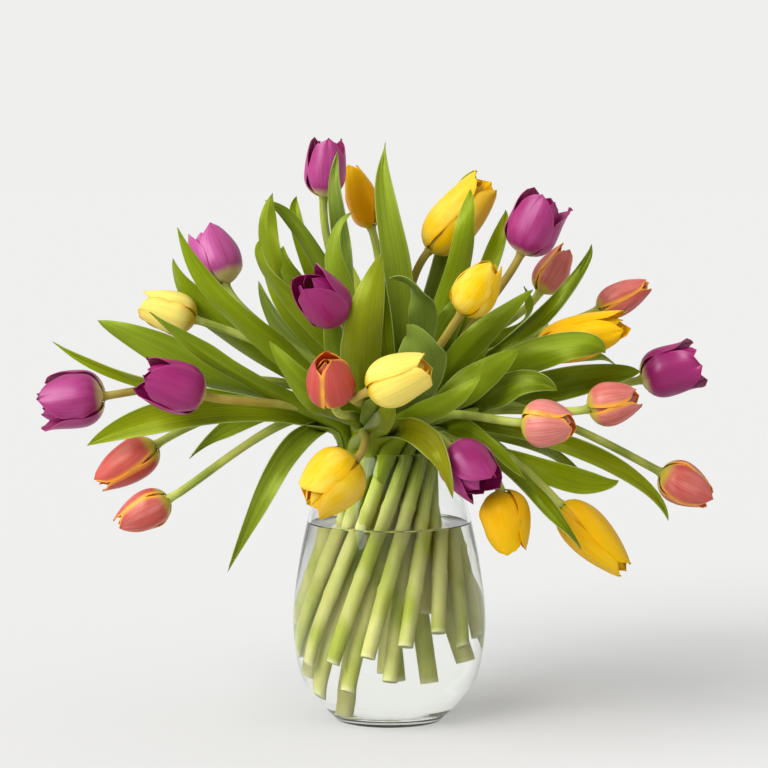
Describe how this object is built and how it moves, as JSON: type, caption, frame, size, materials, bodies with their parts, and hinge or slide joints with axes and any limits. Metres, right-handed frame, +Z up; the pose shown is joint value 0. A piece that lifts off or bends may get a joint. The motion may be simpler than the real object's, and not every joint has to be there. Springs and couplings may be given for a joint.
{
  "type": "tulips in a vase",
  "caption": "Loose bouquet of purple, yellow and orange-pink tulips on leafy stems, standing in water in a clear egg-shaped glass vase.",
  "frame": {"origin": "centre of the vase's flat underside", "axes": "+Z up along the vase's axis, -Y towards the side that faces the viewer, +X to that viewer's right"},
  "size_m": [0.5074, 0.3458, 0.437],
  "materials": {
    "glass": "clear, polished",
    "water": "clear liquid",
    "foliage": "satin leaf green, paler and yellower on the stems",
    "purple_petals": "satin petal, cream at the base",
    "yellow_petals": "satin petal, flushed orange along the seams",
    "orange_petals": "satin petal, salmon pink with orange-yellow edges"
  },
  "bodies": {
    "root": {"vase": "glass", "water": "water", "stem_purple_top": "foliage", "bloom_purple_top": "purple_petals", "stem_yellow_behind_top": "foliage", "bloom_yellow_behind_top": "yellow_petals", "stem_yellow_high": "foliage", "bloom_yellow_high": "yellow_petals", "stem_purple_centre": "foliage", "bloom_purple_centre": "purple_petals", "stem_purple_high_right": "foliage", "bloom_purple_high_right": "purple_petals", "stem_orange_high_right": "foliage", "bloom_orange_high_right": "orange_petals", "stem_yellow_small": "foliage", "bloom_yellow_small": "yellow_petals", "stem_orange_right": "foliage", "bloom_orange_right": "orange_petals", "stem_yellow_right": "foliage", "bloom_yellow_right": "yellow_petals", "stem_yellow_centre": "foliage", "bloom_yellow_centre": "yellow_petals", "stem_orange_centre": "foliage", "bloom_orange_centre": "orange_petals", "stem_purple_high_left": "foliage", "bloom_purple_high_left": "purple_petals", "stem_yellow_left": "foliage", "bloom_yellow_left": "yellow_petals", "stem_yellow_back": "foliage", "bloom_yellow_back": "yellow_petals", "stem_purple_right": "foliage", "bloom_purple_right": "purple_petals", "stem_orange_front_right": "foliage", "bloom_orange_front_right": "orange_petals", "stem_orange_mid_right": "foliage", "bloom_orange_mid_right": "orange_petals", "stem_orange_low_right": "foliage", "bloom_orange_low_right": "orange_petals", "stem_purple_front_right": "foliage", "bloom_purple_front_right": "purple_petals", "stem_yellow_drooping": "foliage", "bloom_yellow_drooping": "yellow_petals", "stem_yellow_low_right": "foliage", "bloom_yellow_low_right": "yellow_petals", "stem_yellow_front_left": "foliage", "bloom_yellow_front_left": "yellow_petals", "stem_purple_mid_left": "foliage", "bloom_purple_mid_left": "purple_petals", "stem_purple_left": "foliage", "bloom_purple_left": "purple_petals", "stem_orange_left": "foliage", "bloom_orange_left": "orange_petals", "stem_orange_low_left": "foliage", "bloom_orange_low_left": "orange_petals", "stem_purple_back": "foliage", "bloom_purple_back": "purple_petals", "stem_orange_back": "foliage", "bloom_orange_back": "orange_petals"}
  },
  "joints": []
}
